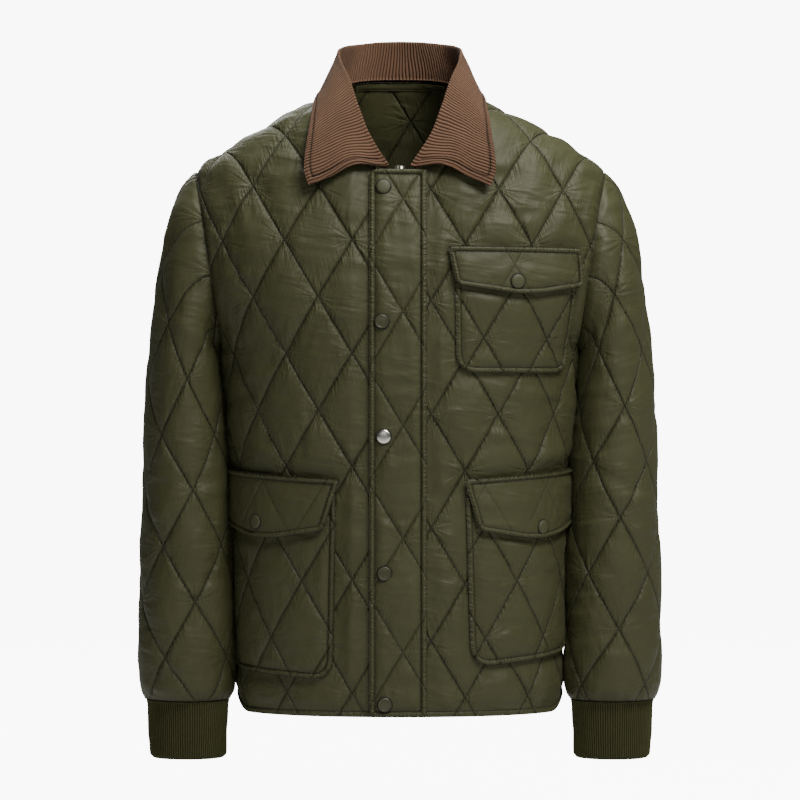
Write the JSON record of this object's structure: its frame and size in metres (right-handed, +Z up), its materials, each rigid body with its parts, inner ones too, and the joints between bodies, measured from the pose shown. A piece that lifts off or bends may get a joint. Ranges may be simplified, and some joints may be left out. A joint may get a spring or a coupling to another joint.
{
  "type": "quilted jacket",
  "caption": "Hip-length jacket in diamond-quilted shell cloth with a corduroy collar, snapped storm flap, flap pockets and ribbed cuffs, filled out as worn with nobody in it.",
  "frame": {"origin": "where the wearer's neck and shoulders carry the jacket: the middle of the neck at the height of the shoulder seams", "axes": "+Z up, from the hem to the collar; -Y out of the front; +X towards the side with the chest pocket, which is the wearer's left"},
  "size_m": [0.5918, 0.2774, 0.8122],
  "materials": {
    "shell": "olive-green woven nylon with a soft satin sheen, quilted over thin padding",
    "corduroy": "brown fine-wale corduroy, matt with a soft nap",
    "rib_knit": "dark olive rib knit, matt",
    "snap_olive": "olive-painted metal cap",
    "snap_silver": "plain silver-coloured metal cap",
    "zip": "dark woven tape"
  },
  "bodies": {
    "root": {"front_right": "shell", "front_left": "shell", "back": "shell", "sleeve_right": "shell", "sleeve_left": "shell", "cuff_right": "rib_knit", "cuff_left": "rib_knit", "zip": "zip", "storm_flap": "shell", "pocket_chest": "shell", "flap_chest": "shell", "pocket_low_right": "shell", "flap_low_right": "shell", "pocket_low_left": "shell", "flap_low_left": "shell", "snap_neck": "snap_olive", "snap_chest": "snap_olive", "snap_waist": "snap_silver", "snap_pocket": "snap_olive", "snap_hem": "snap_olive", "snap_flap_chest": "snap_olive", "snap_flap_low_right": "snap_olive", "snap_flap_low_left": "snap_olive", "neck_tape": "zip", "collar": "corduroy"}
  },
  "joints": []
}
